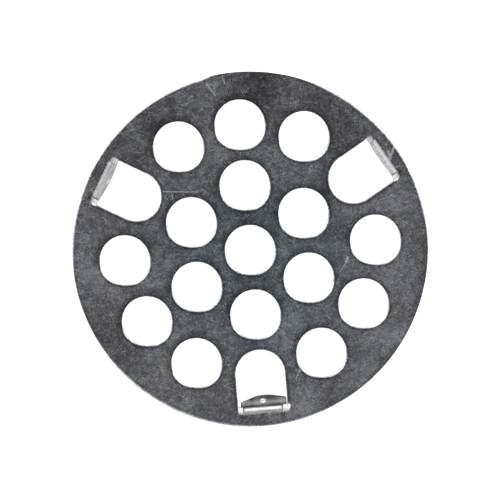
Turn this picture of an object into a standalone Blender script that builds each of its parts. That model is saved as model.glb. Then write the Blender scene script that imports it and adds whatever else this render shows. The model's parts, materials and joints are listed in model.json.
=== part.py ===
"""Snap-in strainer grate for a floor or shower drain: a round perforated steel plate on three prongs.

Metres, +Z up. The origin is under the middle of the plate, level with the prong tips, and the front
prong is at -Y. The real strainer is one stamping. It is divided here at its three bend lines, which
work as hinges: the prongs flex there when the strainer is pushed into a drain.
"""

import math

import bmesh
import bpy
from mathutils import Vector

MM = 0.001

# Sheet and disc
SHEET = 0.8 * MM  # sheet thickness
DISC_RADIUS = 23.8125 * MM  # half of the nominal 1-7/8 in
STAND_HEIGHT = 8.8 * MM  # top of the plate above the prong tips
EDGE_BREAK = 0.25 * MM  # the upper edges of the rim and holes, drawn down by the punch

# Drain holes: one in the middle, a ring of six, and a ring of twelve places where prongs take three
HOLE_RADIUS = 3.37 * MM  # a 17/64 in punch
INNER_RING_RADIUS = 8.68 * MM
INNER_RING_ANGLES = (30, 90, 150, 210, 270, 330)
OUTER_RING_RADIUS = 16.80 * MM
OUTER_RING_ANGLES = (0, 60, 90, 120, 180, 210, 240, 300, 330)

# Windows that the prongs are cut from, with a relief slot across the outer end of each
WINDOW_HALF_WIDTH = 3.32 * MM
RELIEF_RADIUS = 0.4 * MM
RELIEF_HALF_LENGTH = 3.45 * MM

# Prongs: a strip with a blunt tapered tip, folded down at the bend line
BEND_LINE = 22.15 * MM  # distance of the bend line from the middle of the plate
BEND_INNER_RADIUS = 0.1 * MM
NEUTRAL_DEPTH = 0.48 * MM  # depth below the upper face of the fibre that keeps its length
NECK_HALF_WIDTH = 2.6 * MM
BLADE_HALF_WIDTH = 3.12 * MM
NECK_LENGTH = 1.15 * MM  # the strip widens from neck to blade over this length
TIP_HALF_WIDTH = 0.8 * MM
TIP_TAPER = 2.9 * MM  # the strip narrows to the tip over this length
TIP_CORNER_RADIUS = 1.3 * MM
ROOT_GAP = 0.3 * MM  # clearance between a prong's root and the plate

# Detent dimple, pressed outwards through each blade
DIMPLE_DROP = 4.9 * MM  # below the top of the plate
DIMPLE_MOUTH_RADIUS = 0.7 * MM
DIMPLE_DEPTH = 0.55 * MM
DIMPLE_BASE_RADIUS = 0.95 * MM
DIMPLE_HEIGHT = 0.45 * MM

# Each prong's name, its place round the plate, and how far it leans inwards from the vertical
PRONGS = (
    ("prong_front", 270, 4.5),
    ("prong_right", 30, 0.0),
    ("prong_left", 150, 1.2),
)

# Facets
DISC_SIDES = 96
HOLE_SIDES = 32
WINDOW_ARC_STEPS = 16
RELIEF_ARC_STEPS = 5
TIP_STEPS = 6
BEND_STEPS = 6
DIMPLE_SIDES = 24
DIMPLE_STEPS = 4

BEND_OUTER_RADIUS = BEND_INNER_RADIUS + SHEET
NEUTRAL_RADIUS = BEND_OUTER_RADIUS - NEUTRAL_DEPTH
CUT_DEPTH = 4 * SHEET
STEEL = (0.33, 0.34, 0.36, 1.0)


# ---- Helpers ----


def clear_scene():
    for obj in list(bpy.data.objects):
        bpy.data.objects.remove(obj, do_unlink=True)


def new_collection(name, cutters=False):
    collection = bpy.data.collections.new(name)
    bpy.context.scene.collection.children.link(collection)
    collection.hide_render = cutters
    return collection


def adopt(obj, collection):
    """Move an object into a collection."""
    for old in list(obj.users_collection):
        old.objects.unlink(obj)
    collection.objects.link(obj)


def adopt_cutter(obj, collection):
    adopt(obj, collection)
    obj.hide_render = True
    obj.display_type = "WIRE"


def steel(name):
    """Stamped steel sheet with a dull, slightly blue mill finish."""
    material = bpy.data.materials.new(name)
    material.use_nodes = True
    shader = material.node_tree.nodes["Principled BSDF"]
    shader.inputs["Base Color"].default_value = STEEL
    shader.inputs["Metallic"].default_value = 1.0
    shader.inputs["Roughness"].default_value = 0.38
    return material


def arc(centre, radius, start, end, steps):
    """Points along an arc in the plane, with the angles in degrees and both ends included."""
    points = []
    for step in range(steps + 1):
        angle = math.radians(start + (end - start) * step / steps)
        points.append((centre[0] + radius * math.cos(angle), centre[1] + radius * math.sin(angle)))
    return points


def polar(radius, degrees):
    angle = math.radians(degrees)
    return Vector((radius * math.cos(angle), radius * math.sin(angle), 0.0))


def extruded_outline(name, points, thickness):
    """A closed mesh of a flat outline, centred on its own XY plane."""
    curve = bpy.data.curves.new(name, "CURVE")
    curve.dimensions = "2D"
    curve.fill_mode = "BOTH"
    curve.extrude = thickness / 2
    spline = curve.splines.new("POLY")
    spline.points.add(len(points) - 1)
    for point, (x, y) in zip(spline.points, points):
        point.co = (x, y, 0.0, 1.0)
    spline.use_cyclic_u = True
    outline = bpy.data.objects.new(name, curve)
    bpy.context.scene.collection.objects.link(outline)
    depsgraph = bpy.context.evaluated_depsgraph_get()
    mesh = bpy.data.meshes.new_from_object(outline.evaluated_get(depsgraph))
    bpy.data.objects.remove(outline, do_unlink=True)
    bm = bmesh.new()
    bm.from_mesh(mesh)
    bmesh.ops.remove_doubles(bm, verts=bm.verts, dist=0.001 * MM)
    bmesh.ops.recalc_face_normals(bm, faces=bm.faces)
    bm.to_mesh(mesh)
    bm.free()
    mesh.name = name
    return bpy.data.objects.new(name, mesh)


def boolean(obj, tool, operation):
    modifier = obj.modifiers.new(tool.name, "BOOLEAN")
    modifier.operation = operation
    modifier.solver = "EXACT"
    modifier.object = tool


def boolean_group(obj, collection):
    """Cut every object of a collection out of one object."""
    modifier = obj.modifiers.new(collection.name, "BOOLEAN")
    modifier.operation = "DIFFERENCE"
    modifier.solver = "EXACT"
    modifier.operand_type = "COLLECTION"
    modifier.collection = collection


def apply_modifiers(obj):
    depsgraph = bpy.context.evaluated_depsgraph_get()
    mesh = bpy.data.meshes.new_from_object(obj.evaluated_get(depsgraph))
    obj.modifiers.clear()
    obj.data = mesh


def finish_surface(obj):
    """Shade the round walls smooth and give the piece its own steel."""
    obj.data.shade_smooth()
    obj.data.set_sharp_from_angle(angle=math.radians(30))
    obj.data.materials.clear()
    obj.data.materials.append(steel(obj.name + "_steel"))


# ---- Plate ----


def hole_centres():
    centres = [Vector((0.0, 0.0, 0.0))]
    centres += [polar(INNER_RING_RADIUS, angle) for angle in INNER_RING_ANGLES]
    centres += [polar(OUTER_RING_RADIUS, angle) for angle in OUTER_RING_ANGLES]
    return centres


def add_hole_punches(collection, height):
    for number, centre in enumerate(hole_centres(), start=1):
        bpy.ops.mesh.primitive_cylinder_add(
            vertices=HOLE_SIDES,
            radius=HOLE_RADIUS,
            depth=CUT_DEPTH,
            location=(centre.x, centre.y, height),
        )
        punch = bpy.context.object
        punch.name = f"hole_punch_{number:02d}"
        adopt_cutter(punch, collection)


def window_outline():
    """A prong's window: X is the distance from the middle of the plate, Y runs along the bend line."""
    flare = math.degrees(math.acos(WINDOW_HALF_WIDTH / HOLE_RADIUS))
    slot_middle = BEND_LINE - RELIEF_RADIUS
    slot_end = RELIEF_HALF_LENGTH - RELIEF_RADIUS
    shoulder = math.degrees(math.acos((WINDOW_HALF_WIDTH - slot_end) / RELIEF_RADIUS))
    root_edge = BEND_LINE + ROOT_GAP
    root_half_width = NECK_HALF_WIDTH + ROOT_GAP
    inner_end = arc((OUTER_RING_RADIUS, 0.0), HOLE_RADIUS, 90 - flare, 270 + flare, WINDOW_ARC_STEPS)
    lower_relief = arc((slot_middle, -slot_end), RELIEF_RADIUS, -90 - shoulder, 0, RELIEF_ARC_STEPS)
    upper_relief = arc((slot_middle, slot_end), RELIEF_RADIUS, 0, 90 + shoulder, RELIEF_ARC_STEPS)
    root = [
        (BEND_LINE, -root_half_width),
        (root_edge, -root_half_width),
        (root_edge, root_half_width),
        (BEND_LINE, root_half_width),
    ]
    return inner_end + lower_relief + root + upper_relief


def add_window_punches(collection, height):
    for name, angle, _lean in PRONGS:
        punch = extruded_outline(name.replace("prong", "window_punch"), window_outline(), CUT_DEPTH)
        punch.location = (0.0, 0.0, height)
        punch.rotation_euler = (0.0, 0.0, math.radians(angle))
        adopt_cutter(punch, collection)


def is_upper_edge(edge):
    """True where the upper face meets an upright wall."""
    if len(edge.link_faces) != 2:
        return False
    low, high = sorted(face.normal.z for face in edge.link_faces)
    return high > 0.99 and abs(low) < 0.01


def break_upper_edges(mesh):
    bm = bmesh.new()
    bm.from_mesh(mesh)
    edges = [edge for edge in bm.edges if is_upper_edge(edge)]
    bmesh.ops.bevel(bm, geom=edges, offset=EDGE_BREAK, segments=1, affect="EDGES")
    bm.to_mesh(mesh)
    bm.free()


def build_plate(parts, hole_punches, window_punches):
    height = STAND_HEIGHT - SHEET / 2
    bpy.ops.mesh.primitive_cylinder_add(
        vertices=DISC_SIDES,
        radius=DISC_RADIUS,
        depth=SHEET,
        location=(0.0, 0.0, height),
    )
    plate = bpy.context.object
    plate.name = "strainer_plate"
    adopt(plate, parts)
    add_hole_punches(hole_punches, height)
    boolean_group(plate, hole_punches)
    apply_modifiers(plate)
    break_upper_edges(plate.data)
    finish_surface(plate)
    add_window_punches(window_punches, height)
    boolean_group(plate, window_punches)
    return plate


# ---- Prongs ----


def fold(distance, depth, bend):
    """Where a point of the flat strip lands when the strip is folded down through the angle bend.

    The point is distance along the strip from the bend line and depth below its upper face. The
    result is its outward distance from the hinge and its height above the hinge, which is on the
    bend line at half the sheet's thickness.
    """
    radius = BEND_OUTER_RADIUS - depth
    turned = min(max(distance / NEUTRAL_RADIUS, 0.0), bend)
    past = distance - turned * NEUTRAL_RADIUS
    outward = -radius * math.sin(turned) - past * math.cos(turned)
    height = radius * math.cos(turned) - past * math.sin(turned)
    return outward, height - BEND_OUTER_RADIUS + SHEET / 2


def strip_length(bend):
    """Length of strip that brings the lower corner of the tip down to the floor."""
    straight_drop = STAND_HEIGHT - BEND_OUTER_RADIUS + BEND_INNER_RADIUS * math.cos(bend)
    return bend * NEUTRAL_RADIUS + straight_drop / math.sin(bend)


def rounded_corner(before, corner, after):
    """Points of the arc that rounds off a corner of the tip."""
    corner = Vector(corner)
    back, ahead = (Vector(before) - corner).normalized(), (Vector(after) - corner).normalized()
    half = back.angle(ahead) / 2
    middle = corner + (back + ahead).normalized() * TIP_CORNER_RADIUS / math.sin(half)
    start, end = (corner + way * TIP_CORNER_RADIUS / math.tan(half) - middle for way in (back, ahead))
    first = math.degrees(math.atan2(start.y, start.x))
    return arc(middle, TIP_CORNER_RADIUS, first, first + 180 - 2 * math.degrees(half), TIP_STEPS)


def strip_outline(length):
    """The flat strip: X runs from the bend line towards the tip, Y across it."""
    corners = [
        (NECK_LENGTH, -BLADE_HALF_WIDTH),
        (length - TIP_TAPER, -BLADE_HALF_WIDTH),
        (length, -TIP_HALF_WIDTH),
        (length, TIP_HALF_WIDTH),
        (length - TIP_TAPER, BLADE_HALF_WIDTH),
        (NECK_LENGTH, BLADE_HALF_WIDTH),
    ]
    tip = []
    for before, corner, after in zip(corners, corners[1:], corners[2:]):
        tip += rounded_corner(before, corner, after)
    return [(0.0, -NECK_HALF_WIDTH), corners[0], *tip, corners[-1], (0.0, NECK_HALF_WIDTH)]


def fold_mesh(mesh, bend):
    bm = bmesh.new()
    bm.from_mesh(mesh)
    for step in range(1, BEND_STEPS + 1):
        bmesh.ops.bisect_plane(
            bm,
            geom=bm.verts[:] + bm.edges[:] + bm.faces[:],
            plane_co=(bend * NEUTRAL_RADIUS * step / BEND_STEPS, 0.0, 0.0),
            plane_no=(1.0, 0.0, 0.0),
            dist=0.001 * MM,
        )
    for vertex in bm.verts:
        outward, height = fold(vertex.co.x, SHEET / 2 - vertex.co.z, bend)
        vertex.co.x = outward
        vertex.co.z = height
    bmesh.ops.triangulate(bm, faces=bm.faces)
    bmesh.ops.recalc_face_normals(bm, faces=bm.faces)
    bm.to_mesh(mesh)
    bm.free()


def cap_sphere_radius(base_radius, height):
    return (base_radius**2 + height**2) / (2 * height)


def add_dimple_dome(name):
    """The outer side of the dimple: a turned cap on a short plug that sinks into the blade."""
    radius = cap_sphere_radius(DIMPLE_BASE_RADIUS, DIMPLE_HEIGHT)
    sweep = math.degrees(math.asin(DIMPLE_BASE_RADIUS / radius))
    profile = arc((0.0, DIMPLE_HEIGHT - radius), radius, 90, 90 - sweep, DIMPLE_STEPS)
    profile += [(DIMPLE_BASE_RADIUS, -SHEET / 2), (0.0, -SHEET / 2)]
    mesh = bpy.data.meshes.new(name)
    edges = [(index, index + 1) for index in range(len(profile) - 1)]
    mesh.from_pydata([(x, 0.0, z) for x, z in profile], edges, [])
    dome = bpy.data.objects.new(name, mesh)
    screw = dome.modifiers.new("turn", "SCREW")
    screw.steps = DIMPLE_SIDES
    screw.render_steps = DIMPLE_SIDES
    screw.use_merge_vertices = True
    screw.merge_threshold = 0.001 * MM
    return dome


def add_dimple_ball(name):
    """The ball that hollows the inner side of the dimple."""
    bpy.ops.mesh.primitive_uv_sphere_add(
        segments=DIMPLE_SIDES,
        ring_count=DIMPLE_SIDES // 2,
        radius=cap_sphere_radius(DIMPLE_MOUTH_RADIUS, DIMPLE_DEPTH),
    )
    ball = bpy.context.object
    ball.name = name
    return ball


def press_dimple(prong, cutters, bend):
    """Push a dimple outwards through the blade."""
    hinge_drop = SHEET / 2
    end_drop = BEND_OUTER_RADIUS - hinge_drop
    straight = (DIMPLE_DROP - hinge_drop - end_drop) / math.sin(bend)
    distance = bend * NEUTRAL_RADIUS + straight
    x, z = fold(distance, 0.0, bend)
    inner_face = Vector((x, 0.0, z))
    x, z = fold(distance, SHEET, bend)
    outer_face = Vector((x, 0.0, z))
    outwards = (outer_face - inner_face).normalized()
    turn = outwards.to_track_quat("Z", "Y").to_euler()
    dome = add_dimple_dome(prong.name + "_dimple_dome")
    dome.location = outer_face
    ball = add_dimple_ball(prong.name + "_dimple_ball")
    ball_radius = cap_sphere_radius(DIMPLE_MOUTH_RADIUS, DIMPLE_DEPTH)
    ball.location = inner_face - outwards * (ball_radius - DIMPLE_DEPTH)
    for tool, operation in ((dome, "UNION"), (ball, "DIFFERENCE")):
        tool.rotation_euler = turn
        tool.parent = prong
        adopt_cutter(tool, cutters)
        boolean(prong, tool, operation)


def build_prong(parts, cutters, plate, name, angle, lean):
    """One prong, with its origin on the bend line that it flexes about."""
    bend = math.radians(90 - lean)
    prong = extruded_outline(name, strip_outline(strip_length(bend)), SHEET)
    fold_mesh(prong.data, bend)
    adopt(prong, parts)
    prong.parent = plate
    prong.location = polar(BEND_LINE, angle)
    prong.rotation_euler = (0.0, 0.0, math.radians(angle))
    finish_surface(prong)
    press_dimple(prong, cutters, bend)
    return prong


# ---- Strainer ----


def build_strainer():
    clear_scene()
    parts = new_collection("floor_drain_grate")
    hole_punches = new_collection("hole_punches", cutters=True)
    window_punches = new_collection("window_punches", cutters=True)
    dimple_tools = new_collection("dimple_tools", cutters=True)
    plate = build_plate(parts, hole_punches, window_punches)
    for name, angle, lean in PRONGS:
        build_prong(parts, dimple_tools, plate, name, angle, lean)


build_strainer()
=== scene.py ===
"""Looks of a snap-in floor drain strainer: one worn steel stamping that flexes at its three prongs.

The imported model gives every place: the disc and its holes, the bend lines and the bodies that move.
Lengths below are in metres unless a name says otherwise.
"""

import json
import math

import bmesh
import bpy
import numpy as np
from mathutils import Matrix, Vector, geometry


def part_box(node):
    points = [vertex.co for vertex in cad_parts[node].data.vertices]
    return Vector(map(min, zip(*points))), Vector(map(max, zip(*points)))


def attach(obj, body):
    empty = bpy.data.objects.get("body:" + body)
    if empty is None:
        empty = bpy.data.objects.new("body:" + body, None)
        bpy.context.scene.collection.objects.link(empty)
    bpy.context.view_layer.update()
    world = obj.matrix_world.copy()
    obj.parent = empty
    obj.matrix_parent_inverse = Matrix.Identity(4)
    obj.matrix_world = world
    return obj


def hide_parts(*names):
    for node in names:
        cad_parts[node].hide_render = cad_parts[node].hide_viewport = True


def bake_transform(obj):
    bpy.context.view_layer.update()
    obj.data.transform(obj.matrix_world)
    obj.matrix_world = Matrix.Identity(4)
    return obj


MM = 0.001

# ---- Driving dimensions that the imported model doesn't state ----

HOLE_RADIUS = 3.32 * MM
WINDOW_HALF_WIDTH = 3.31 * MM
NECK_HALF_WIDTH = 2.6 * MM
BLADE_HALF_WIDTH = 3.12 * MM
NECK_LENGTH = 1.15 * MM
NECK_STRAIGHT = 0.75 * MM  # before it widens to the blade
NECK_ROLL_END = 0.2 * MM
TIP_HALF_WIDTH = 0.8 * MM
TIP_TAPER = 2.9 * MM
TIP_CORNER_RADIUS = 1.3 * MM
BEND_INNER_RADIUS = 0.1 * MM
NEUTRAL_DEPTH = 0.48 * MM  # of the layer that the bend leaves at its length
DIMPLE_DROP = 4.9 * MM  # below the top of the plate
DIMPLE_DEPTH = 0.58 * MM
DIMPLE_MOUTH = 0.68 * MM  # radius on the inner face
DIMPLE_BACK = 1.1 * MM  # radius on the outer face
MOUTH_SHARPNESS = 0.6  # a lower one has a crisper rim
BACK_SHARPNESS = 1.5
LEAN = {"front_prong": 4.5, "right_prong": 0.0, "left_prong": 2.2}  # degrees inwards
# How much longer one side's taper is than the other's, where the tip was trimmed askew
TIP_SKEW = {"front_prong": 0.9 * MM, "right_prong": 0.2 * MM, "left_prong": -0.7 * MM}
# How far the blade sits off the middle of its neck
BLADE_SHIFT = {"front_prong": 0.13 * MM, "right_prong": 0.0, "left_prong": 0.0}

# Sheared edges: the punch draws the upper edge down, and tumbling breaks the lower one.
# Widths are of the drawn-down band; its depth is a share of its width.
WINDOW_ROLL = 0.17 * MM
NECK_ROLL = 0.1 * MM
BLADE_ROLL = 0.16 * MM
ROLL_STEEPNESS = 0.6
# The drawn-down bands carry a painted highlight, which stands in for brighter lamps
BAND_HIGHLIGHT = 1.0  # doublings of brightness of a drawn-down band
BREAK_WIDTH = 0.06 * MM
BREAK_DEPTH = 0.04 * MM

# The blanking punch sat a little askew, so the rim is drawn down unevenly: degrees, width in mm
RIM_ROLL = (
    (0, 0.1),
    (8, 0.26),
    (28, 0.24),
    (42, 0.35),
    (58, 0.36),
    (70, 0.02),
    (97, 0.02),
    (101, 0.46),
    (112, 0.48),
    (132, 0.49),
    (150, 0.42),
    (160, 0.45),
    (172, 0.34),
    (187, 0.12),
    (205, 0.18),
    (222, 0.34),
    (256, 0.38),
    (268, 0.23),
    (290, 0.28),
    (308, 0.08),
    (326, 0.02),
    (343, 0.02),
)
# How strongly the rim's drawn-down band takes its painted highlight: degrees, share
RIM_HIGHLIGHT = ((90, 0.35), (100, 1.1), (175, 1.1), (190, 0.35))
# The hole punches leaned the same way: bearing round each hole in degrees, width in mm
HOLE_ROLL = (
    (0, 0.22),
    (25, 0.11),
    (150, 0.08),
    (185, 0.09),
    (207, 0.29),
    (235, 0.22),
    (258, 0.1),
    (272, 0.13),
    (293, 0.33),
    (322, 0.38),
    (342, 0.28),
)

# The bend drags a web of the plate down with it in each window corner, beside a slit at the neck
WEB_REACH = 1.05 * MM
WEB_START = 0.02 * MM  # inside the bend line
WEB_DROP = 0.6 * MM
WEB_HALF_LENGTH = 3.5 * MM  # across the window
WEB_CORNER_RADIUS = 0.5 * MM
WEB_FADE = 0.16 * MM
WEB_THINNING = 0.75
WEB_STEP = 0.12 * MM
WEB_GRID_START = 0.3 * MM  # inwards of the webs
# Painted highlight: doublings of brightness painted onto the webs at either end of each bend line,
# set per web to stand in for the light it catches
WEB_SHADE = {"front_prong": (2.4, 2.4), "right_prong": (2.4, 1.0), "left_prong": (1.0, 2.4)}
SLIT = 0.06 * MM  # across
SLIT_TAPER = 0.1 * MM  # along the slit, from its root
WEB_CORNER_CUT = (0.08 * MM, 0.1 * MM)  # along the slit and across the window
WINDOW_CORNER_CUT = 0.05 * MM
WEB_STEEPNESS = 0.98  # of the web at its edge, where 1 would be upright
WEB_MARGIN = 0.2 * MM  # beyond the webs
# A web with a bright painted highlight has a painted dark line, a painted shade, along its sheared
# edge, stronger the further its brightness is past a start
WEB_LINE_START = 1.3
WEB_LINE_GAIN = 3.2
WEB_LINE_WIDTH = 0.06 * MM
WORKED_DEPTH = 0.04 * MM  # where a dragged web is as pale as the bends

# The painted dark line, a painted shade, beside a drawn-down band: its place beyond the band, its
# width, and how its strength falls from one with the band's width in mm, down to a least strength
LINE_OFFSET = 0.07 * MM
LINE_WIDTH = 0.18 * MM
LINE_STRENGTH = 1.25
LINE_FALL = 2.5
LEAST_LINE = 0.35
RIM_LINE = 0.45
HIGHLIGHT_REACH = 1.6  # how steeply the painted highlight fades over the band

# Mesh fineness
DISC_SIDES = 240
HOLE_SIDES = 80
EDGE_STEP = 0.16 * MM
ROLL_STEPS = 6
SEAM_STEPS = 9
HEAD_STEPS = 60
TIP_CORNER_STEPS = 8
LATTICE = 0.9 * MM
LATTICE_MARGIN = 0.62 * MM
LATTICE_REACH = 1.0 * MM  # beyond a window, where its edge still matters
WEB_GRID_MARGIN = 0.11 * MM
UPPER_RINGS = [3, 2.2, 1.5]  # beyond the drawn-down band, in widths of it
LOWER_RINGS = [3, 1, 0.5]  # in widths of the broken edge
RING_SLACK = 0.97  # share of its own distance that a ring's point keeps from other edges
BEND_ROWS = 22
BLADE_ROW = 0.28 * MM
BLADE_COLUMN = 0.33 * MM
COLUMNS = 10  # on each side of the prong's middle
BLADE_MARGIN = 0.22 * MM
DIMPLE_MARGIN = 0.1 * MM
DIMPLE_RINGS = 9
DIMPLE_OUTER_RINGS = (0.8 * MM, 0.95 * MM)
DIMPLE_SPOKES = 28
SHARP_ANGLE = 48  # degrees
WITHIN_LOOPS = 1  # the kind of triangulation
MERGE_DISTANCE = 1e-9

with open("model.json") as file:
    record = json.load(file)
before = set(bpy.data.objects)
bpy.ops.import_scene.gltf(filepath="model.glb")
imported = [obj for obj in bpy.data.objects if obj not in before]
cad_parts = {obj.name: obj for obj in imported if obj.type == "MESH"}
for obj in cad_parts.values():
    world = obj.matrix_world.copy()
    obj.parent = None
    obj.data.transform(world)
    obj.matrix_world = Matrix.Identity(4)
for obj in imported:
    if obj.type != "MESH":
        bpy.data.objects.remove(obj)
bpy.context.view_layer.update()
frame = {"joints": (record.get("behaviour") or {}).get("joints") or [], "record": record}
record = frame["record"]

UNDER, TOP = (corner.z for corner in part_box("strainer_plate"))
SHEET = TOP - UNDER
DISC_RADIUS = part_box("strainer_plate")[1].x
BEND_OUTER_RADIUS = BEND_INNER_RADIUS + SHEET
NEUTRAL_RADIUS = BEND_OUTER_RADIUS - NEUTRAL_DEPTH
HINGES = {joint["child"]: joint for joint in frame["joints"]}
BEND_LINE = math.hypot(*HINGES["front_prong"]["pos_m"][:2])


def hole_centres():
    """The middle of each round hole, from the openings that the record states."""
    centres = []
    for opening in record["physics"]["openings"]:
        if opening["name"].startswith("hole"):
            low, high = np.array(opening["box_m"])
            centres.append(((low + high) / 2)[:2])
    return centres


def prong_angle(body):
    x, y, _z = HINGES[body]["pos_m"]
    return math.atan2(y, x)


def turned(points, angle):
    """Points of a prong's own plane, X outwards and Y along the bend, turned to its place."""
    c, s = math.cos(angle), math.sin(angle)
    points = np.asarray(points, float)
    return np.stack([points[:, 0] * c - points[:, 1] * s, points[:, 0] * s + points[:, 1] * c], 1)


# ---- Outlines ----


def arc(centre, radius, start, end, steps):
    angles = np.radians(np.linspace(start, end, steps + 1))
    return np.stack([centre[0] + radius * np.cos(angles), centre[1] + radius * np.sin(angles)], 1)


def roll_shares():
    """Distances from a sheared edge, as shares of the drawn-down width, where its rings lie."""
    return 1 - np.sin(np.radians(np.linspace(0, 90, ROLL_STEPS + 1)))


def seam_places():
    """Places along a bend line where the plate and the prong share their points."""
    near_ends = NECK_HALF_WIDTH - NECK_ROLL * roll_shares()
    middle = np.linspace(0, near_ends.min() - EDGE_STEP, SEAM_STEPS)
    half = np.unique(np.round(np.concatenate([near_ends, middle]), 9))
    return np.concatenate([-half[::-1], half[1:]])


def resampled(points, step):
    """A run of points, with a width each, with extra ones at most a step apart."""
    out = [points[0]]
    for a, b in zip(points[:-1], points[1:]):
        count = max(1, int(np.ceil(np.linalg.norm((b - a)[:2]) / step)))
        for i in range(1, count + 1):
            out.append(a + (b - a) * i / count)
    return np.array(out)


def window_free_edge():
    """The sheared edge of a window in its own plane, from one end of the bend line to the other.

    X is outwards and Y along the bend; each point also has its drawn-down width."""
    flare = math.degrees(math.acos(WINDOW_HALF_WIDTH / HOLE_RADIUS))
    slit = NECK_HALF_WIDTH + SLIT
    web_edge = BEND_LINE - WEB_REACH
    cut_along, cut_across = WEB_CORNER_CUT
    corner = np.array(
        [
            (BEND_LINE, NECK_HALF_WIDTH, NECK_ROLL),
            (BEND_LINE - SLIT_TAPER, slit, NECK_ROLL),
            (web_edge + cut_along, slit, NECK_ROLL),
            (web_edge, slit + cut_across, NECK_ROLL),
            (web_edge, WINDOW_HALF_WIDTH - WINDOW_CORNER_CUT, NECK_ROLL),
            (web_edge - WINDOW_CORNER_CUT, WINDOW_HALF_WIDTH, WINDOW_ROLL),
        ]
    )
    head = arc((OUTER_RING_RADIUS, 0.0), HOLE_RADIUS, 90 - flare, 270 + flare, HEAD_STEPS)
    head = np.column_stack([head, np.full(len(head), WINDOW_ROLL)])
    return resampled(np.concatenate([corner, head, corner[::-1] * (1, -1, 1)]), EDGE_STEP)


def web_places(points, body):
    """Places in a window's own plane, with how far into its corner webs each lies, 0 to 1."""
    own = turned(points, -prong_angle(body)) - (0, BLADE_SHIFT[body])
    reach = BEND_LINE - WEB_START - WEB_CORNER_RADIUS
    outward = np.maximum(own[:, 0] - reach, 0)
    across = np.maximum(abs(own[:, 1]) - WEB_HALF_LENGTH + WEB_CORNER_RADIUS, 0)
    inside = np.clip((WEB_CORNER_RADIUS - np.hypot(outward, across)) / WEB_FADE, 0, 1)
    near = own[:, 0] > BEND_LINE - WEB_REACH - WEB_MARGIN
    return own, near * inside * inside * (3 - 2 * inside)


def web_depth(points):
    """How far the corner webs are dragged down at places in the plate's plane."""
    depth = np.zeros(len(points))
    for body in PRONG_BODIES:
        own, share = web_places(points, body)
        along = np.clip((BEND_LINE - WEB_START - own[:, 0]) / (WEB_REACH - WEB_START), 0, 1)
        depth += WEB_DROP * share * (1 - np.sqrt(1 - along * along * WEB_STEEPNESS))
    return depth


def web_shade(points, from_edge):
    """Painted highlight on the corner webs, with a painted dark line, a painted shade, along their
    own sheared edges.
    """
    shade = np.zeros(len(points))
    for body in PRONG_BODIES:
        own, share = web_places(points, body)
        bright = np.where(own[:, 1] < 0, *WEB_SHADE[body])
        line = np.clip(bright - WEB_LINE_START, 0, 1) * WEB_LINE_GAIN
        line = line * np.exp(-from_edge / WEB_LINE_WIDTH)
        shade += share * (bright - line)
    return shade


def strip_length(bend):
    """Length of a flat prong whose tip reaches the ground once it is bent."""
    straight_drop = TOP - BEND_OUTER_RADIUS + BEND_INNER_RADIUS * math.cos(bend)
    return bend * NEUTRAL_RADIUS + straight_drop / math.sin(bend)


def rounded_corner(before, corner, after):
    """Points of the arc that rounds off a corner of a prong's tip."""
    back, ahead = before - corner, after - corner
    back, ahead = back / np.linalg.norm(back), ahead / np.linalg.norm(ahead)
    half = math.acos(back @ ahead) / 2
    inwards = (back + ahead) / np.linalg.norm(back + ahead)
    middle = corner + inwards * TIP_CORNER_RADIUS / math.sin(half)
    start = corner + back * TIP_CORNER_RADIUS / math.tan(half) - middle
    first = math.degrees(math.atan2(start[1], start[0]))
    last = first + 180 - 2 * math.degrees(half)
    return arc(middle, TIP_CORNER_RADIUS, first, last, TIP_CORNER_STEPS)


def strip_free_edge(length, skew, shift):
    """The sheared edge of a flat prong: X towards the tip, Y across, from one end of the root."""
    neck = np.array([[0.0, NECK_HALF_WIDTH], [NECK_STRAIGHT, NECK_HALF_WIDTH]])
    left, right = shift - BLADE_HALF_WIDTH, shift + BLADE_HALF_WIDTH
    corners = np.array(
        [
            (NECK_LENGTH, left),
            (length - TIP_TAPER - skew, left),
            (length, shift - TIP_HALF_WIDTH),
            (length, shift + TIP_HALF_WIDTH),
            (length - TIP_TAPER + skew, right),
            (NECK_LENGTH, right),
        ]
    )
    tip = [rounded_corner(*corners[i : i + 3]) for i in range(len(corners) - 2)]
    run = np.concatenate([neck * (1, -1), corners[:1], *tip, corners[-1:], neck[::-1]])
    widths = np.interp(run[:, 0], [NECK_ROLL_END, NECK_LENGTH], [NECK_ROLL, BLADE_ROLL])
    return resampled(np.column_stack([run, widths]), EDGE_STEP)


# ---- Sheet: a flat pattern with shaped faces, closed by its sheared walls ----


def nearest_on(points, run):
    """Distance of each point from an open run, with the run's width at the nearest place."""
    best = np.ones((len(points), 2))
    for a, b in zip(run[:-1], run[1:]):
        ab = (b - a)[:2]
        t = np.clip(((points - a[:2]) @ ab) / max(ab @ ab, 1e-18), 0, 1)
        distance = np.linalg.norm(points - a[:2] - t[:, None] * ab, axis=1)
        here = np.column_stack([distance, a[2:] + t[:, None] * (b - a)[2:]])
        best = np.where((distance < best[:, 0])[:, None], here, best)
    return best


def inside_run(points, run):
    """True for points inside a closed outline."""
    x, y = points[:, 0], points[:, 1]
    odd = np.zeros(len(points), bool)
    for (x0, y0), (x1, y1) in zip(run, np.roll(run, -1, axis=0)):
        crosses = (y0 > y) != (y1 > y)
        if y1 != y0:
            odd ^= crosses & (x < (x1 - x0) * (y - y0) / (y1 - y0) + x0)
    return odd


def beside_run(run, share, left):
    """Points beside a run: its middle points moved square to it by a share of their width."""
    tangent = np.gradient(run[:, :2], axis=0)
    tangent /= np.linalg.norm(tangent, axis=1)[:, None]
    normal = np.stack([-tangent[:, 1], tangent[:, 0]], 1) * (1 if left else -1)
    return (run[:, :2] + normal * share * run[:, 2:3])[1:-1], (share * run[:, 2])[1:-1]


def roll_drop(distance, width):
    """How far the drawn-down upper face lies below the plane at a distance from the edge."""
    t = np.clip(1 - distance / width, 0, 1)
    return width * ROLL_STEEPNESS * (1 - np.sqrt(1 - t * t))


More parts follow.
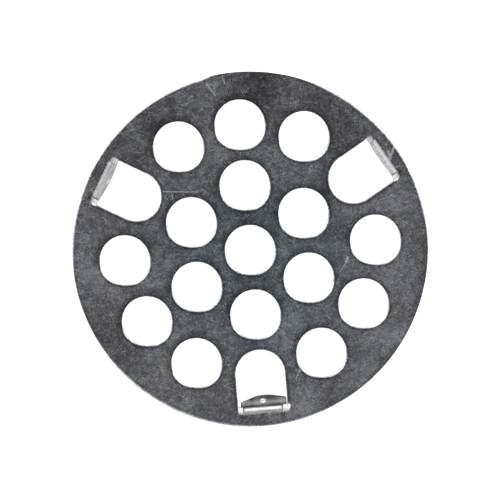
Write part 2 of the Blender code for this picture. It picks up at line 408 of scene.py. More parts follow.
def break_rise(distance):
    t = np.clip(1 - distance / BREAK_WIDTH, 0, 1)
    return BREAK_DEPTH * (1 - np.sqrt(1 - t * t))


def triangulated(loops, extra, inside):
    """Delaunay triangles over closed loops and loose points, kept where inside() is true.

    Returns the points, the triangles, and each loop as indices of those points."""
    points, edges, starts = [], [], []
    for loop in loops:
        start = len(points)
        starts.append(start)
        points += [Vector(p) for p in loop]
        edges += [(start + i, start + (i + 1) % len(loop)) for i in range(len(loop))]
    points += [Vector(p) for p in extra]
    out = geometry.delaunay_2d_cdt(points, edges, [], WITHIN_LOOPS, MERGE_DISTANCE)
    verts = np.array([tuple(v) for v in out[0]])
    new_of = {}
    for new, olds in enumerate(out[3]):
        for old in olds:
            new_of[old] = new
    faces = np.array([f for f in out[2]])
    faces = faces[inside(verts[faces].mean(1))]
    rings = [[new_of[s + i] for i in range(len(loop))] for s, loop in zip(starts, loops)]
    return verts, faces, rings


def build_mesh(name, upper, lower, place, attributes):
    """A closed mesh from an upper and a lower skin with the same loops.

    Each skin is (points, triangles, rings, depth at each point); place turns flat points and their
    depth below the upper face into space."""
    verts, faces, flat = [], [], []
    base = 0
    bases = []
    for (points, triangles, _rings, depth), flip in ((upper, False), (lower, True)):
        bases.append(base)
        verts.append(place(points, depth))
        flat.append(np.column_stack([points, depth]))
        order = triangles[:, ::-1] if flip else triangles
        faces += [tuple(int(i) + base for i in f) for f in order]
        base += len(points)
    for top_ring, low_ring in zip(upper[2], lower[2]):
        count = len(top_ring)
        for i in range(count):
            j = (i + 1) % count
            faces.append(
                (
                    top_ring[i] + bases[0],
                    low_ring[i] + bases[1],
                    low_ring[j] + bases[1],
                    top_ring[j] + bases[0],
                )
            )
    verts = np.concatenate(verts)
    mesh = bpy.data.meshes.new(name)
    mesh.from_pydata([tuple(v) for v in verts], [], faces)
    flat = np.concatenate(flat)
    for key, values in attributes(flat).items():
        kind = "FLOAT_VECTOR" if values.ndim == 2 else "FLOAT"
        layer = mesh.attributes.new(key, kind, "POINT")
        field = "vector" if values.ndim == 2 else "value"
        layer.data.foreach_set(field, values.astype(np.float32).ravel())
    mesh.update()
    return mesh


def tidy_normals(mesh):
    """Face every wall outwards and shade the round stretches smooth."""
    bm = bmesh.new()
    bm.from_mesh(mesh)
    loose = [v for v in bm.verts if not v.link_faces]
    bmesh.ops.delete(bm, geom=loose, context="VERTS")
    bmesh.ops.recalc_face_normals(bm, faces=bm.faces)
    bm.to_mesh(mesh)
    bm.free()
    mesh.shade_smooth()
    mesh.set_sharp_from_angle(angle=math.radians(SHARP_ANGLE))


def new_object(name, mesh, *materials):
    obj = bpy.data.objects.new(name, mesh)
    bpy.context.scene.collection.objects.link(obj)
    for material in materials:
        mesh.materials.append(material)
    return obj


# ---- Plate ----

HOLES = hole_centres()
OUTER_RING_RADIUS = max(np.linalg.norm(c) for c in HOLES)
PRONG_BODIES = ("front_prong", "right_prong", "left_prong")
PRONG_NODES = {body: record["behaviour"]["bodies"][body][0] for body in PRONG_BODIES}


def circle(centre, radius, sides):
    angles = np.arange(sides) * 2 * math.pi / sides
    return np.stack([centre[0] + radius * np.cos(angles), centre[1] + radius * np.sin(angles)], 1)


def window_loops():
    """Each window as its free edge and its closed outline, in the plate's plane."""
    free = window_free_edge()
    seam = np.stack([np.full(len(seam_places()), BEND_LINE), seam_places()], 1)
    closed = np.concatenate([free[:, :2], seam[1:-1]])
    loops = []
    for body in PRONG_BODIES:
        angle = prong_angle(body)
        placed = np.column_stack([turned(free[:, :2], angle), free[:, 2:]])
        loops.append((placed, turned(closed, angle)))
    return loops


def by_bearing(table, points):
    """Values at the bearings of points, from a table of degrees and values."""
    degrees = np.degrees(np.arctan2(points[:, 1], points[:, 0])) % 360
    where, value = np.array(table).T
    return np.interp(degrees, where, value, period=360)


def dark_line(distance, width):
    """Strength of the painted dark line, a painted shade, beside a drawn-down band, which is fainter
    where that is wide.
    """
    faint = np.clip(LINE_STRENGTH - LINE_FALL * width / MM, LEAST_LINE, 1)
    return faint * np.exp(-(((distance - width - LINE_OFFSET) / LINE_WIDTH) ** 2))


def highlight_share(distance, width):
    """How strongly a drawn-down band takes its painted highlight at a distance from its edge, 0 to 1.
    """
    return np.clip(HIGHLIGHT_REACH - HIGHLIGHT_REACH * distance / width, 0, 1)


def plate_edges(points, windows):
    """Distance from the nearest sheared edge, how far the upper face is drawn down there, the
    strength of the painted dark line (painted shade) beside the edge and how strongly its drawn-down
    band takes its painted highlight."""
    from_rim = DISC_RADIUS - np.linalg.norm(points, axis=1)
    width = by_bearing(RIM_ROLL, points) * MM
    nearest, drop = from_rim, roll_drop(from_rim, width)
    bright = by_bearing(RIM_HIGHLIGHT, points) * highlight_share(from_rim, width)
    dark = RIM_LINE * dark_line(from_rim, width)
    for centre in HOLES:
        away = np.linalg.norm(points - centre, axis=1) - HOLE_RADIUS
        width = by_bearing(HOLE_ROLL, points - centre) * MM
        nearest = np.minimum(nearest, away)
        drop += roll_drop(away, width)
        dark = np.maximum(dark, dark_line(away, width))
        bright = np.maximum(bright, highlight_share(away, width))
    near = np.linalg.norm(points, axis=1) > OUTER_RING_RADIUS - HOLE_RADIUS - LATTICE_REACH
    for free, _closed in windows:
        away, width = nearest_on(points[near], free).T
        nearest[near] = np.minimum(nearest[near], away)
        drop[near] += roll_drop(away, width)
        dark[near] = np.maximum(dark[near], dark_line(away, width))
    return np.maximum(nearest, 0), drop, dark, bright


def web_grid():
    """Close points over the two corner webs of each window."""
    start = BEND_LINE - WEB_REACH - WEB_GRID_START
    places = [
        (x, y * side)
        for side in (-1, 1)
        for x in np.arange(start, BEND_LINE + WEB_MARGIN, WEB_STEP)
        for y in np.arange(NECK_HALF_WIDTH + SLIT, WEB_HALF_LENGTH + WEB_STEP, WEB_STEP)
    ]
    return np.concatenate([turned(places, prong_angle(body)) for body in PRONG_BODIES])


def lattice(radius, step):
    """Points of a triangular lattice within a circle."""
    rows = []
    count = int(radius / step) + 2
    for j in range(-count, count + 1):
        for i in range(-count, count + 1):
            rows.append((step * (i + 0.5 * (j % 2)), step * j * math.sqrt(0.75)))
    points = np.array(rows)
    return points[np.linalg.norm(points, axis=1) < radius]


def plate_mesh():
    windows = window_loops()
    rim = circle((0, 0), DISC_RADIUS, DISC_SIDES)
    loops = [rim]
    loops += [circle(c, HOLE_RADIUS, HOLE_SIDES) for c in HOLES]
    loops += [closed for _free, closed in windows]
    across_flats = HOLE_RADIUS * math.cos(math.pi / HOLE_SIDES)

    def inside(points):
        ok = np.linalg.norm(points, axis=1) < DISC_RADIUS
        for centre in HOLES:
            ok &= np.linalg.norm(points - centre, axis=1) > across_flats
        for _free, closed in windows:
            ok &= ~inside_run(points, closed)
        return ok

    def skin(ring_widths, shares, depth_of):
        rim_band, hole_band, window_band = ring_widths
        extra = []
        grids = ((lattice(DISC_RADIUS, LATTICE), LATTICE_MARGIN), (web_grid(), WEB_GRID_MARGIN))
        for grid, margin in grids:
            grid = grid[inside(grid)]
            extra.append(grid[plate_edges(grid, windows)[0] > margin])
        for share in shares:
            extra.append(rim * (1 - share * rim_band / DISC_RADIUS)[:, None])
            hole = ring * (1 + share * hole_band / HOLE_RADIUS)[:, None]
            extra += [hole + centre for centre in HOLES]
            for free, _closed in windows:
                run = free.copy()
                run[:, 2] = window_band if window_band else run[:, 2]
                for left in (True, False):
                    beside, wanted = beside_run(run, share, left)
                    away = plate_edges(beside, windows)[0]
                    extra.append(beside[inside(beside) & (away > RING_SLACK * wanted)])
        points, triangles, loop_rings = triangulated(loops, np.concatenate(extra), inside)
        depth = depth_of(web_depth(points), *plate_edges(points, windows)[:2])
        return points, triangles, loop_rings, depth

    ring = circle((0, 0), HOLE_RADIUS, HOLE_SIDES)
    upper_bands = (by_bearing(RIM_ROLL, rim) * MM, by_bearing(HOLE_ROLL, ring) * MM, None)
    lower_bands = (np.full(len(rim), BREAK_WIDTH), np.full(len(ring), BREAK_WIDTH), BREAK_WIDTH)
    upper = skin(
        upper_bands,
        [*UPPER_RINGS, *roll_shares()[:-1]],
        lambda web, _away, drop: drop + web,
    )
    lower = skin(
        lower_bands,
        LOWER_RINGS,
        lambda web, away, _drop: SHEET - break_rise(away) + web * (1 - WEB_THINNING),
    )

    def place(points, depth):
        return np.column_stack([points, TOP - depth])

    def attributes(flat):
        away, _drop, dark, bright = plate_edges(flat[:, :2], windows)
        bright *= flat[:, 2] < SHEET / 2
        worked = np.clip(web_depth(flat[:, :2]) / WORKED_DEPTH, 0, 1)
        return {
            "sheet": place(flat[:, :2], flat[:, 2]),
            # halo is a painted dark line, painted shade, beside the sheared edges
            "halo": dark * (1 - worked),
            "worked": worked,
            # shade holds the painted highlight of the webs and the drawn-down bands
            "shade": web_shade(flat[:, :2], away) + BAND_HIGHLIGHT * bright,
            "strand": flat / MM,
        }

    mesh = build_mesh("plate_sheet", upper, lower, place, attributes)
    tidy_normals(mesh)
    return mesh


# ---- Prongs ----

# Painted highlights and painted shade by place, in doublings: round the bend from 0 to 1, and down
# the blade in mm
BEND_SHADE = {
    "front_prong": (
        (0.0, 0.06, 0.3, 0.4, 0.48, 0.66, 0.8, 1.0),
        (0.2, 0.5, 0.0, 0.0, 1.3, 1.4, 0.3, -0.3),
    ),
    "right_prong": ((0.0, 0.08, 0.3, 0.45, 1.0), (1.1, 1.45, 1.3, 0.4, 0.3)),
    "left_prong": ((0.0, 0.08, 0.25, 0.4, 1.0), (1.1, 1.4, 1.15, 0.3, 0.15)),
}
BLADE_SHADE = (
    (-0.12, 0.2, 0.9, 1.6, 2.3, 3.6, 4.8, 6.0, 7.4, 8.0),
    (0.0, -0.6, -0.8, -0.35, 0.1, 0.05, -0.3, -0.6, -0.55, -1.3),
)
# The side of each neck whose slit shows a painted dark line, a painted shade: -1 or 1, or 0 for both
SLIT_SIDE = {"front_prong": 0, "right_prong": -1, "left_prong": 1}
# How strongly each blade takes the painted shade down it
BLADE_SHADE_SHARE = {"front_prong": 1.0, "right_prong": 0.25, "left_prong": 0.15}
# The dimple's highlight on the inner face: half lengths down and across, place, fade and
# brightness
SPOT_SIZE = (1.4 * MM, 0.4 * MM)
SPOT_SHIFT = (0, 0.15)  # in half lengths
SPOT_EDGE = 3.0
SPOT_CORE = 3.2
SPOT_SHADE = 3.0
INNER_SKIN = 0.7 * MM  # deepest that the inner face's points lie in the flat sheet
# Widths of the painted dark lines, painted shade, at the slit and along the prong's sheared edges
SLIT_LINE_WIDTH = 0.07 * MM
EDGE_LINE_WIDTH = 0.1 * MM
WORKED_START = 8  # how quickly the bend turns pale, per whole bend
# Scale of the streaks round the bend, across it in 1/mm, and through the sheet in 1/mm
STREAKS = (9, 0.45, 1)


def fold(distance, depth, bend):
    """Outward distance from the bend line and height below the top of the plate, after folding."""
    radius = BEND_OUTER_RADIUS - depth
    turn = np.clip(distance / NEUTRAL_RADIUS, 0, bend)
    past = distance - turn * NEUTRAL_RADIUS
    outward = -radius * np.sin(turn) - past * np.cos(turn)
    below = BEND_OUTER_RADIUS - radius * np.cos(turn) + past * np.sin(turn)
    return outward, below


def dimple_place(bend):
    """Distance of the dimple's middle along the flat prong."""
    return bend * NEUTRAL_RADIUS + (DIMPLE_DROP - BEND_OUTER_RADIUS) / math.sin(bend)


def bulge(radius, reach, sharpness):
    """A pressed dimple's depth at a radius: a bowl whose rim is crisper for a lower sharpness."""
    return DIMPLE_DEPTH * np.clip(1 - (radius / reach) ** 2, 0, 1) ** sharpness


def strip_grid(length, bend):
    """Rows of points over a flat prong, close together round the bend, with rings at the dimple."""
    arc_length = bend * NEUTRAL_RADIUS
    bend_rows = np.linspace(0, arc_length, BEND_ROWS + 1)[1:]
    blade_rows = np.arange(arc_length + BLADE_ROW, length, BLADE_ROW)
    columns = np.arange(-COLUMNS, COLUMNS + 1) * BLADE_COLUMN
    grid = np.array([(x, y) for x in np.concatenate([bend_rows, blade_rows]) for y in columns])
    middle = np.array([dimple_place(bend), 0.0])
    grid = grid[np.linalg.norm(grid - middle, axis=1) > DIMPLE_BACK + DIMPLE_MARGIN]
    bowl = DIMPLE_MOUTH * np.sin(np.radians(np.linspace(0, 90, DIMPLE_RINGS + 1)))[1:]
    radii = (*bowl, *DIMPLE_OUTER_RINGS, DIMPLE_BACK)
    rings = [circle(middle, radius, DIMPLE_SPOKES) for radius in radii]
    return np.concatenate([grid, middle[None, :]] + rings)


def prong_mesh(body):
    bend = math.radians(90 - LEAN[body])
    length = strip_length(bend)
    angle = prong_angle(body)
    free = strip_free_edge(length, TIP_SKEW[body], BLADE_SHIFT[body])
    seam = np.stack([np.zeros(len(seam_places())), seam_places()], 1)[::-1]
    closed = np.concatenate([free[:, :2], seam[1:-1]])
    dimple = np.array([dimple_place(bend), 0.0])

    def inside(points):
        return inside_run(points, closed)

    def skin(band, shares, depth_of):
        grid = strip_grid(length, bend)
        grid = grid[inside(grid)]
        extra = [grid[nearest_on(grid, free)[:, 0] > BLADE_MARGIN]]
        run = free.copy()
        run[:, 2] = band if band else run[:, 2]
        for share in shares:
            beside, wanted = beside_run(run, share, True)
            away = nearest_on(beside, free)[:, 0]
            extra.append(beside[inside(beside) & (away > RING_SLACK * wanted)])
        points, triangles, loop_rings = triangulated([closed], np.concatenate(extra), inside)
        from_dimple = np.linalg.norm(points - dimple, axis=1)
        return points, triangles, loop_rings, depth_of(nearest_on(points, free).T, from_dimple)

    upper = skin(
        None,
        roll_shares()[:-1],
        lambda edge, r: roll_drop(*edge) + bulge(r, DIMPLE_MOUTH, MOUTH_SHARPNESS),
    )
    lower = skin(
        BREAK_WIDTH,
        LOWER_RINGS[1:],
        lambda edge, r: SHEET - break_rise(edge[0]) + bulge(r, DIMPLE_BACK, BACK_SHARPNESS),
    )

    def place(points, depth):
        outward, below = fold(points[:, 0], depth, bend)
        flat = turned(np.stack([BEND_LINE + outward, points[:, 1]], 1), angle)
        return np.column_stack([flat, TOP - below])

    def attributes(flat):
        unfolded = turned(np.stack([BEND_LINE - flat[:, 0], flat[:, 1]], 1), angle)
        beyond = (flat[:, 0] - bend * NEUTRAL_RADIUS) / MM
        turn = np.clip(flat[:, 0] / (bend * NEUTRAL_RADIUS), 0, 1)
        to_spot = np.linalg.norm((flat[:, :2] - dimple) / SPOT_SIZE - SPOT_SHIFT, axis=1)
        spot = np.clip(SPOT_CORE - SPOT_EDGE * to_spot, 0, 1) * (flat[:, 2] < INNER_SKIN)
        end = flat[:, 1] * SLIT_SIDE[body] >= 0
        edge = nearest_on(flat[:, :2], free)[:, 0]
        # Painted highlight and painted shade round the bend, painted shade down the blade, a painted
        # dark line at the slit and the dimple's highlight
        shade = np.interp(turn, *BEND_SHADE[body])
        shade = shade + BLADE_SHADE_SHARE[body] * np.interp(beyond, *BLADE_SHADE)
        slit_line = end * np.exp(-edge / SLIT_LINE_WIDTH)
        round_bend, across, through = STREAKS
        return {
            "sheet": np.column_stack([unfolded, TOP - flat[:, 2]]),
            # A painted dark line, painted shade, along the prong's sheared edges
            "halo": np.exp(-edge / EDGE_LINE_WIDTH),
            "worked": np.clip(turn * WORKED_START, 0, 1),
            "shade": shade - slit_line + spot * (SPOT_SHADE - shade),
            "strand": np.column_stack(
                [turn * round_bend, across * flat[:, 1] / MM, through * flat[:, 2] / MM]
            ),
        }

    mesh = build_mesh(body + "_sheet", upper, lower, place, attributes)
    tidy_normals(mesh)
    return mesh


# ---- Material ----


class Nodes:
    """Short calls for building a node tree."""

    def __init__(self, tree):
        self.tree = tree

    def add(self, kind, inputs=None, **settings):
        node = self.tree.nodes.new(kind)
        for key, value in settings.items():
            setattr(node, key, value)
        for key, value in (inputs or {}).items():
            self.plug(node.inputs[key], value)
        return node

    def plug(self, socket, value):
        if isinstance(value, bpy.types.NodeSocket):
            self.tree.links.new(value, socket)
        else:
            socket.default_value = value

    def math(self, operation, a, b=0.0, c=0.0):
        return self.add("ShaderNodeMath", {0: a, 1: b, 2: c}, operation=operation).outputs[0]

    def scale(self, vector, factor):
        node = self.add("ShaderNodeVectorMath", {0: vector, "Scale": factor}, operation="SCALE")
        return node.outputs[0]

    def noise(self, vector, scale, detail=2.0, roughness=0.5, distortion=0.0):
        inputs = {
            "Vector": vector,
            "Scale": scale,
            "Detail": detail,
            "Roughness": roughness,
            "Distortion": distortion,
        }
        return self.add("ShaderNodeTexNoise", inputs).outputs["Fac"]

    def ramp(self, value, low, high, to_low=0.0, to_high=1.0, smooth=False):
        kind = "SMOOTHSTEP" if smooth else "LINEAR"
        inputs = {"Value": value, 1: low, 2: high, 3: to_low, 4: to_high}
        return self.add("ShaderNodeMapRange", inputs, interpolation_type=kind).outputs[0]

    def mix_colour(self, factor, a, b):
        node = self.add("ShaderNodeMix", data_type="RGBA")
        for socket, value in ((node.inputs[0], factor), (node.inputs[6], a), (node.inputs[7], b)):
            self.plug(socket, value)
        return node.outputs[2]


# Broad tonal patches: place in mm, reach in mm, strength
PATCHES = (
    ((18.6, -13.0), 5.0, 0.7),
    ((13.4, 3.2), 4.0, 0.45),
    ((20.4, 4.3), 4.5, 0.4),
    ((13.0, -18.5), 5.0, 0.5),
    ((6.0, -21.5), 3.0, 0.45),
    ((3.6, -13.4), 2.2, 0.35),
    ((-20.9, -0.9), 3.4, 0.45),
    ((-12.2, 6.9), 2.2, 0.35),
    ((-20.6, -7.5), 4.5, -0.35),
    ((-2.0, 22.6), 3.6, 0.75),
    ((-15.0, 15.2), 5.0, -0.35),
    ((3.0, 20.8), 3.4, -0.55),
    ((14.0, 13.4), 4.5, -0.6),
    ((-6.0, -20.6), 4.0, -0.3),
    ((1.0, 5.5), 7.0, -0.5),
    ((-4.0, -3.0), 6.0, -0.3),
    ((19.0, -3.0), 9.0, 0.75),
    ((2.0, 20.0), 7.0, -0.9),
    ((-9.0, 17.0), 7.0, -0.4),
    ((-17.0, -10.5), 7.0, -0.35),
)

# Scratches and nicks: two ends in mm, half width in mm, strength
SCRATCHES = (
    ((-4.0, 22.7), (-2.9, 20.9), 0.07, 1.6),
    ((-1.75, 23.2), (-1.5, 22.4), 0.08, 1.0),
    ((12.95, -2.1), (12.7, -2.6), 0.16, 1.9),
    ((12.6, -2.8), (11.8, -3.9), 0.06, 1.3),
    ((11.7, -4.3), (10.9, -6.0), 0.05, 0.7),
    ((5.35, -16.6), (5.2, -16.9), 0.1, 2.3),
    ((5.0, -17.25), (4.93, -17.4), 0.09, 2.0),
    ((4.8, -17.6), (4.75, -17.7), 0.07, 1.5),
    ((4.6, -17.8), (4.5, -18.0), 0.06, 0.7),
    ((-5.6, -22.2), (-5.4, -22.0), 0.09, 0.8),
    ((-4.7, -15.1), (-3.6, -15.15), 0.05, 0.6),
    ((-4.9, -17.2), (-3.9, -17.1), 0.05, 0.6),
    ((-7.5, 19.7), (-7.75, 18.4), 0.04, 0.6),
    ((-8.2, 19.4), (-7.95, 18.7), 0.04, 0.5),
    ((-10.9, 8.75), (-6.4, 8.3), 0.07, 1.1),
    ((-9.75, 8.2), (-9.75, 7.65), 0.07, 1.6),
    ((19.57, 10.56), (20.23, 12.09), 0.12, 2.6),
    ((19.46, 11.58), (19.62, 10.65), 0.17, 2.0),
    ((19.3, 12.5), (19.25, 12.55), 0.1, 2.0),
    ((-8.6, 15.6), (-6.9, 16.2), 0.03, 0.3),
    ((8.4, 21.0), (9.6, 19.6), 0.03, 0.35),
    ((16.6, -9.0), (17.9, -11.6), 0.03, 0.4),
    ((9.0, -20.8), (11.8, -19.4), 0.03, 0.4),
    ((-18.4, -12.3), (-16.6, -13.6), 0.03, 0.35),
    ((-12.4, -17.6), (-10.6, -18.9), 0.03, 0.35),
)


# Mottling: scale in 1/mm, roughness, distortion and strength
MOTTLING = (
    (0.12, 0.5, 0.0, 1.5),
    (0.42, 0.55, 0.4, 1.1),
    (1.5, 0.6, 0.6, 1.25),
    (4.6, 0.7, 0.0, 2.5),
)
SPECKS = 1.7
# Hairlines of the rolled sheet: direction in degrees and strength
HAIRLINES = ((24, 1.2), (71, 0.9), (128, 1.2), (160, 0.9))
HAIRLINE_SQUEEZE = 0.06
PATCH_STRENGTH = 0.5
MARK_STRENGTH = 1.8
# Darkening by the halo: a painted dark line, painted shade, beside the sheared edges
HALO_STRENGTH = -1.0
WORKED_MOTTLING = 0.4  # share of the mottling that the bends keep
WORKED_STREAKS = 1.7
# The middle of the sheet is bluer than its rim, and the bends are barely tinted
BLUED = (0.327, 0.363, 0.403, 1)
DRAB = (0.350, 0.355, 0.389, 1)
BENT = (0.372, 0.376, 0.37, 1)
BLUED_MIDDLE = (0.5, -1.5)  # mm
BLUED_RADIUS, DRAB_RADIUS = 15.0, 24.0  # mm
BRIGHTEST = (0.95, 0.95, 0.95)
ROUGHNESS = (0.2, 0.34)  # in the darkest and the palest places
WORKED_ROUGHNESS = 0.16  # more where the sheet was bent


def scratch_mask(n, place, start, end, half_width):
    """Nearness to a straight scratch in the plate's plane, with softly broken ends."""
    (x0, y0), (x1, y1) = start, end
    length = math.hypot(x1 - x0, y1 - y0)
    middle = Vector(((x0 + x1) / 2, (y0 + y1) / 2, TOP / MM))
    angle = math.atan2(y1 - y0, x1 - x0)
    shift = Vector((-math.cos(angle) * middle.x - math.sin(angle) * middle.y, 0, -middle.z))
    shift.y = math.sin(angle) * middle.x - math.cos(angle) * middle.y
    inputs = {"Vector": place, "Location": shift, "Rotation": (0, 0, -angle)}
    local = n.add("ShaderNodeMapping", inputs, vector_type="POINT").outputs[0]
    folded = n.add("ShaderNodeVectorMath", {0: local}, operation="ABSOLUTE").outputs[0]
    inputs = {0: folded, 1: (length / 2, 0, 0.1)}
    beyond = n.add("ShaderNodeVectorMath", inputs, operation="SUBTRACT").outputs[0]
    inputs = {0: beyond, 1: (0, 0, 0)}
    beyond = n.add("ShaderNodeVectorMath", inputs, operation="MAXIMUM").outputs[0]
    away = n.add("ShaderNodeVectorMath", {0: beyond}, operation="LENGTH").outputs["Value"]
    return n.ramp(away, half_width * 1.5, half_width * 0.4, smooth=True)


def stretched(n, place, degrees, scale, squeeze):
    """The place turned and squeezed across one direction, for lengthwise noise."""
    inputs = {
        "Vector": place,
        "Rotation": (0, 0, math.radians(degrees)),
        "Scale": (scale, scale * squeeze, scale),
    }
    return n.add("ShaderNodeMapping", inputs, vector_type="TEXTURE").outputs[0]


def steel_wear_and_painted_light(name, dull_edge, bright_edge):
    """Mill-finished steel sheet, dulled and mottled by handling, paler where it was bent,
    with the painted highlights and painted shade that its mesh holds.

    The two edge values say how much light dark and bright places reflect at a glance."""
    material = bpy.data.materials.new(name)
    material.use_nodes = True
    tree = material.node_tree
    n = Nodes(tree)
    shader = tree.nodes["Principled BSDF"]
    sheet = n.add("ShaderNodeAttribute", attribute_name="sheet").outputs["Vector"]
    worked = n.add("ShaderNodeAttribute", attribute_name="worked").outputs["Fac"]
    shade = n.add("ShaderNodeAttribute", attribute_name="shade").outputs["Fac"]
    strand = n.add("ShaderNodeAttribute", attribute_name="strand").outputs["Vector"]
    halo = n.add("ShaderNodeAttribute", attribute_name="halo").outputs["Fac"]
    place = n.scale(sheet, 1000.0)

    # Tone is 0 at the sheet's middle grey; one unit of it doubles the brightness
    tone = 0.0
    for scale, roughness, distortion, strength in MOTTLING:
        noise = n.noise(place, scale, 2.0, roughness, distortion)
        tone = n.math("MULTIPLY_ADD", n.math("SUBTRACT", noise, 0.5), strength, tone)
    dots = n.noise(place, 7.5, 0.0)
    wear = n.noise(place, 0.8, 1.0)
    specks = n.math("MULTIPLY", n.ramp(dots, 0.6, 0.75), n.ramp(wear, 0.4, 0.6))
    tone = n.math("MULTIPLY_ADD", specks, SPECKS, tone)
    for degrees, strength in HAIRLINES:
        hair = n.noise(stretched(n, place, degrees, 1.3, HAIRLINE_SQUEEZE), 1.0, 1.0)
        tone = n.math("MULTIPLY_ADD", n.ramp(hair, 0.66, 0.76), strength, tone)
    for (x, y), reach, strength in PATCHES:
        inputs = {0: place, 1: (x, y, TOP / MM)}
        far = n.add("ShaderNodeVectorMath", inputs, operation="DISTANCE").outputs["Value"]
        near = n.ramp(far, reach, 0.0, smooth=True)
        tone = n.math("MULTIPLY_ADD", near, PATCH_STRENGTH * strength, tone)
    broken = n.ramp(n.noise(place, 5.0, 1.0), 0.35, 0.6, 0.35, 1.0)
    marks = 0.0
    for start, end, half_width, strength in SCRATCHES:
        mask = scratch_mask(n, place, start, end, half_width)
        marks = n.math("MULTIPLY_ADD", mask, strength, marks)
    tone = n.math("MULTIPLY_ADD", n.math("MULTIPLY", marks, broken), MARK_STRENGTH, tone)
    # The halo paints a dark line beside the sheared edges: painted shade
    tone = n.math("MULTIPLY_ADD", halo, HALO_STRENGTH, tone)

    # Where the sheet was bent it is stretched, pale and streaked; shade adds the painted highlights
    # and painted shade on top
    streak = n.math("SUBTRACT", n.noise(strand, 1.0, 2.0), 0.5)
    calm = n.math("MULTIPLY", tone, n.ramp(worked, 0.0, 1.0, 1.0, WORKED_MOTTLING))
    streaks = n.math("MULTIPLY", streak, n.math("MULTIPLY", worked, WORKED_STREAKS))
    tone = n.math("ADD", n.math("ADD", calm, shade), streaks)
    gain = n.math("POWER", 2.0, tone)

    inputs = {0: place, 1: (*BLUED_MIDDLE, TOP / MM)}
    radius = n.add("ShaderNodeVectorMath", inputs, operation="DISTANCE").outputs["Value"]
    radius = n.math("MULTIPLY_ADD", n.noise(place, 0.25, 2.0), 14.0, radius)
    flat = n.mix_colour(n.ramp(radius, BLUED_RADIUS, DRAB_RADIUS), BLUED, DRAB)
    colour = n.scale(n.mix_colour(worked, flat, BENT), gain)
    colour = n.add("ShaderNodeVectorMath", {0: colour, 1: BRIGHTEST}, operation="MINIMUM")
    n.plug(shader.inputs["Base Color"], colour.outputs[0])
    rough = n.ramp(tone, -1.0, 1.0, *ROUGHNESS)
    rough = n.math("MULTIPLY_ADD", worked, WORKED_ROUGHNESS, rough)
    n.plug(shader.inputs["Roughness"], rough)
    shader.inputs["Metallic"].default_value = 1.0
    edge = n.ramp(tone, -1.0, 1.0, dull_edge, bright_edge)
    edge = n.add("ShaderNodeCombineColor", {0: edge, 1: edge, 2: edge}).outputs[0]
    n.plug(shader.inputs["Specular Tint"], edge)
    height = n.noise(place, 3.0, 3.0, 0.6)
    bump = n.add("ShaderNodeBump", {"Strength": 0.35, "Distance": 0.01 * MM, "Height": height})
    n.plug(shader.inputs["Normal"], bump.outputs[0])
    return material


# ---- Studio ----

VIEW_TURN = 4.714  # degrees that the strainer is turned anticlockwise in the picture
CAMERA_DISTANCE = 378.3 * MM
CAMERA_TILT = 4.17  # degrees from straight above, towards the top of the picture
CAMERA_SIDE = -0.24  # degrees towards the picture's right
CAMERA_LENS = 203.8  # mm
SENSOR_WIDTH = 36.0  # mm


def picture_axes():
    """The picture's right and up directions on the ground."""
    turn = math.radians(VIEW_TURN)
    right = Vector((math.cos(turn), -math.sin(turn), 0.0))
    return right, Vector((math.sin(turn), math.cos(turn), 0.0))


def add_camera():
    right, up = picture_axes()
    tilt, side = math.radians(CAMERA_TILT), math.radians(CAMERA_SIDE)
    back = Vector((0, 0, math.cos(tilt))) + up * math.sin(tilt) + right * math.sin(side)
    back.normalize()
    across = up.cross(back).normalized()
    upward = back.cross(across)
    data = bpy.data.cameras.new("camera")
    data.lens = CAMERA_LENS
    data.sensor_width = SENSOR_WIDTH
    data.clip_start = 0.01
    camera = bpy.data.objects.new("camera", data)
    bpy.context.scene.collection.objects.link(camera)
    rotation = [[across[i], upward[i], back[i]] for i in range(3)]
    place = Vector((0, 0, TOP)) + back * CAMERA_DISTANCE
    camera.matrix_world = Matrix.Translation(place) @ Matrix(rotation).to_4x4()
    bpy.context.scene.camera = camera


def add_floor():
    bpy.ops.mesh.primitive_circle_add(vertices=96, radius=3.0, fill_type="NGON")
    floor = bpy.context.object
    floor.name = "floor"
    material = bpy.data.materials.new("pale_floor")
    material.use_nodes = True
    shader = material.node_tree.nodes["Principled BSDF"]
    shader.inputs["Base Color"].default_value = (0.86, 0.86, 0.86, 1)
    shader.inputs["Roughness"].default_value = 0.9
    shader.inputs["Specular IOR Level"].default_value = 0.1
    shader.inputs["Emission Color"].default_value = (1, 1, 1, 1)
    shader.inputs["Emission Strength"].default_value = 0.7
    floor.data.materials.append(material)


def ground_direction(picture_degrees, from_zenith):
    """A direction given by its bearing in the picture, anticlockwise from its right, and its fall
    from straight up."""
    right, up = picture_axes()
    bearing, fall = math.radians(picture_degrees), math.radians(from_zenith)
    level = right * math.cos(bearing) + up * math.sin(bearing)
    return level * math.sin(fall) + Vector((0, 0, math.cos(fall)))


# The studio is dim overhead, darkest where the camera stands, and lighter all round the horizon.
# Each place is a bearing in the picture, a fall from the zenith, a half width and a soft edge.
OVERHEAD = 0.24
CAMERA_SHADE = (110, 5, 1, 15), -0.13
DIM_OVERHEAD = (100, 5, 58, 22)
HORIZON = 0.5
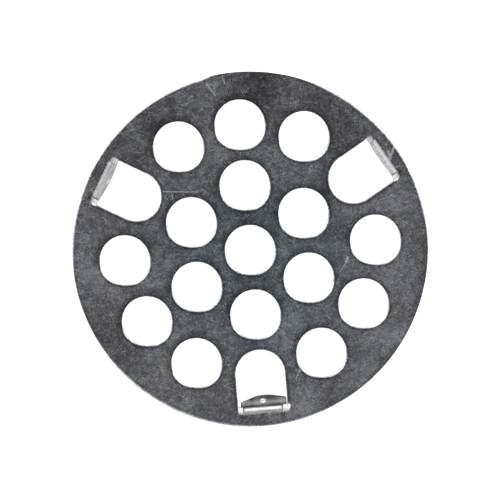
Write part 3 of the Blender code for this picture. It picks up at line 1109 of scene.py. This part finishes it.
# Soft lights: the same four in degrees, and a brightness
LIGHTS = (
    (141, 57, 22, 16, 1.75),
    (95, 86, 14, 10, 0.8),
    (36, 62, 24, 14, 1.6),
    (240, 55, 22, 14, 0.6),
    (325, 55, 22, 14, 0.35),
)


def add_world():
    world = bpy.data.worlds.new("studio")
    bpy.context.scene.world = world
    world.use_nodes = True
    tree = world.node_tree
    n = Nodes(tree)
    direction = n.add("ShaderNodeTexCoord").outputs["Generated"]

    def near(bearing, fall, half_width, soft):
        inputs = {0: direction, 1: tuple(ground_direction(bearing, fall))}
        along = n.add("ShaderNodeVectorMath", inputs, operation="DOT_PRODUCT").outputs["Value"]
        outer, inner = (math.cos(math.radians(a)) for a in (half_width + soft, half_width))
        return n.ramp(along, outer, inner, smooth=True)

    shade_place, shade = CAMERA_SHADE
    light = n.math("MULTIPLY_ADD", near(*shade_place), shade, OVERHEAD)
    low = n.math("SUBTRACT", 1.0, near(*DIM_OVERHEAD))
    light = n.math("MULTIPLY_ADD", low, HORIZON, light)
    for *light_place, power in LIGHTS:
        light = n.math("MULTIPLY_ADD", near(*light_place), power, light)
    background = tree.nodes["Background"]
    colour = n.add("ShaderNodeCombineColor", {0: light, 1: light, 2: light}).outputs[0]
    n.plug(background.inputs["Color"], colour)
    background.inputs["Strength"].default_value = 1.0


def build():
    bpy.context.scene.view_settings.view_transform = "Standard"
    # Both sheets take painted highlights and painted shade from the mesh; the bent one's lower dull
    # edge dims its blades' glancing reflection where they carry painted shade
    steel = steel_wear_and_painted_light("worn_steel_sheet", dull_edge=0.3, bright_edge=0.7)
    bent_steel = steel_wear_and_painted_light("worn_steel_bent", dull_edge=0.1, bright_edge=1.0)
    plate = new_object("plate_sheet", plate_mesh(), steel)
    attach(plate, "plate")
    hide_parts("strainer_plate")
    for body in PRONG_BODIES:
        prong = new_object(body + "_sheet", prong_mesh(body), bent_steel)
        x, y, _z = HINGES[body]["pos_m"]
        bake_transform(prong)
        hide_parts(PRONG_NODES[body])
    add_camera()
    add_floor()
    add_world()


build()
